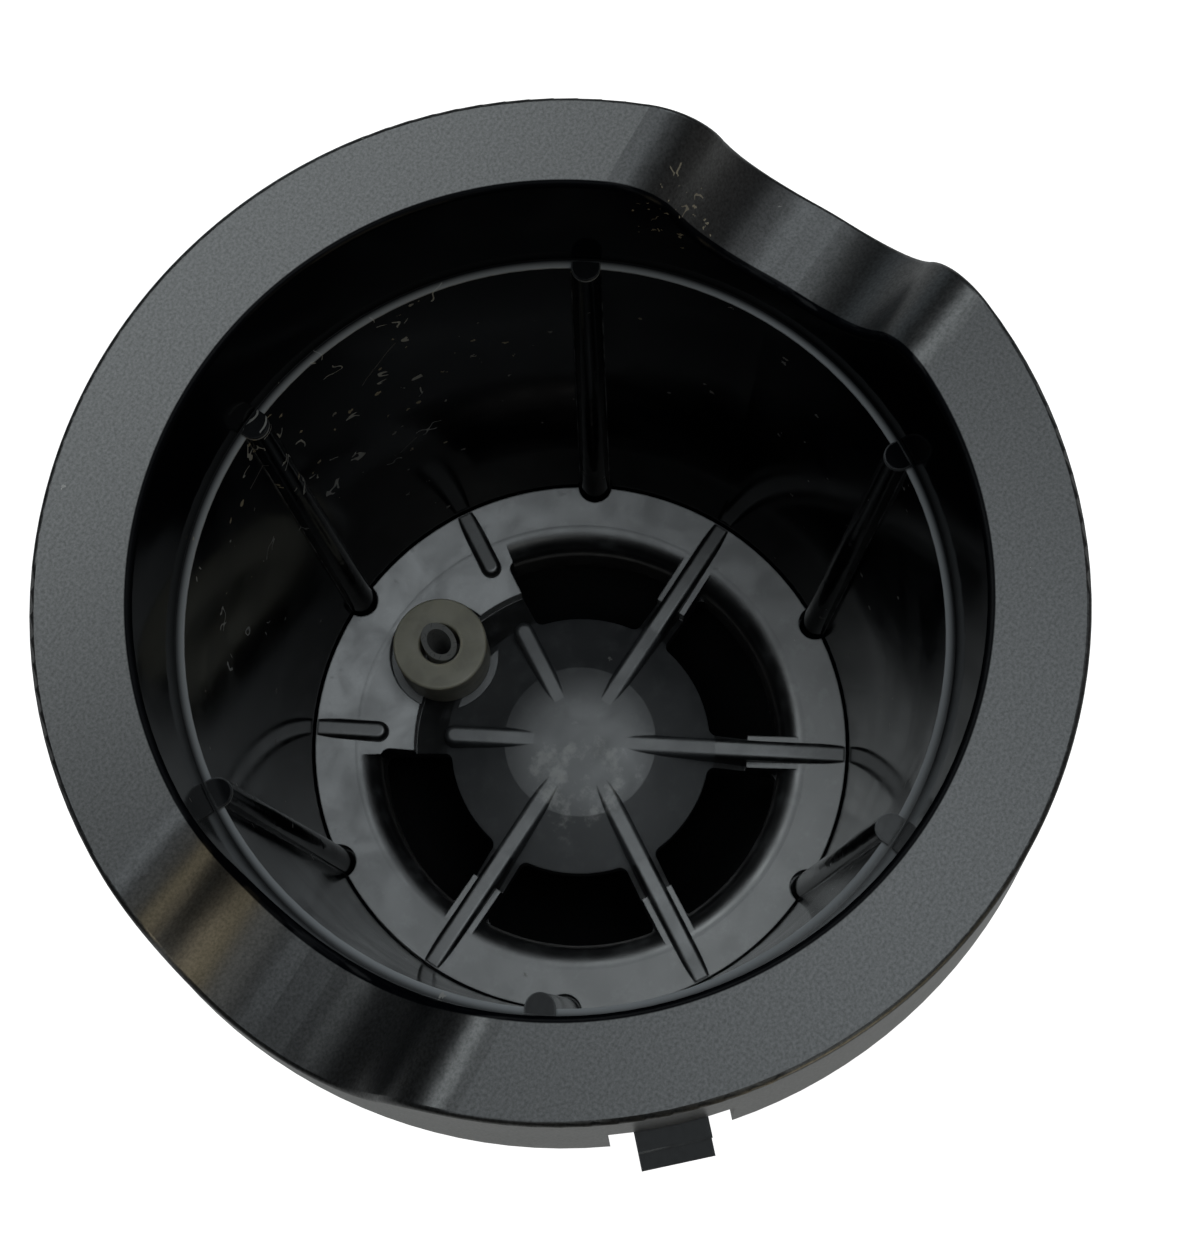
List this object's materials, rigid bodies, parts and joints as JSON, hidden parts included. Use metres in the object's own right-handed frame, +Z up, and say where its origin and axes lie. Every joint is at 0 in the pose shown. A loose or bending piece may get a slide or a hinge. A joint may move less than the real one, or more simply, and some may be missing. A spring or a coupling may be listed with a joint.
{
  "type": "single-serve coffee pod holder",
  "caption": "Round cup with a flared grip rim, finger dips, a ribbed windowed floor and an off-centre piercing needle, over a pull-off outlet funnel; holds a coffee pod in a brewer.",
  "frame": {"origin": "centre of the foot ring, on the surface that the holder stands on", "axes": "+Z up along the cup's axis to the open rim, +Y towards the needle, +X through a finger dip"},
  "size_m": [0.067, 0.067, 0.0774],
  "materials": {
    "rim_plastic": "fine moulded grain",
    "cup_plastic": "polished",
    "floor_plastic": "satin",
    "needle_steel": "ground",
    "seal_silicone": "translucent silicone",
    "funnel_plastic": "satin",
    "ring_rubber": "smooth"
  },
  "bodies": {
    "holder": {"rim_ring": "rim_plastic", "pod_cup": "cup_plastic", "needle_plate": "floor_plastic", "piercing_needle": "needle_steel", "needle_seal": "seal_silicone", "needle_retainer": "floor_plastic", "collar_o_ring": "ring_rubber"},
    "funnel": {"outlet_funnel": "funnel_plastic"}
  },
  "joints": [
    {"name": "funnel_pull", "type": "slide", "parent": "holder", "child": "funnel", "axis": [0, 0, -1], "range_m": [0, 0.03]}
  ]
}
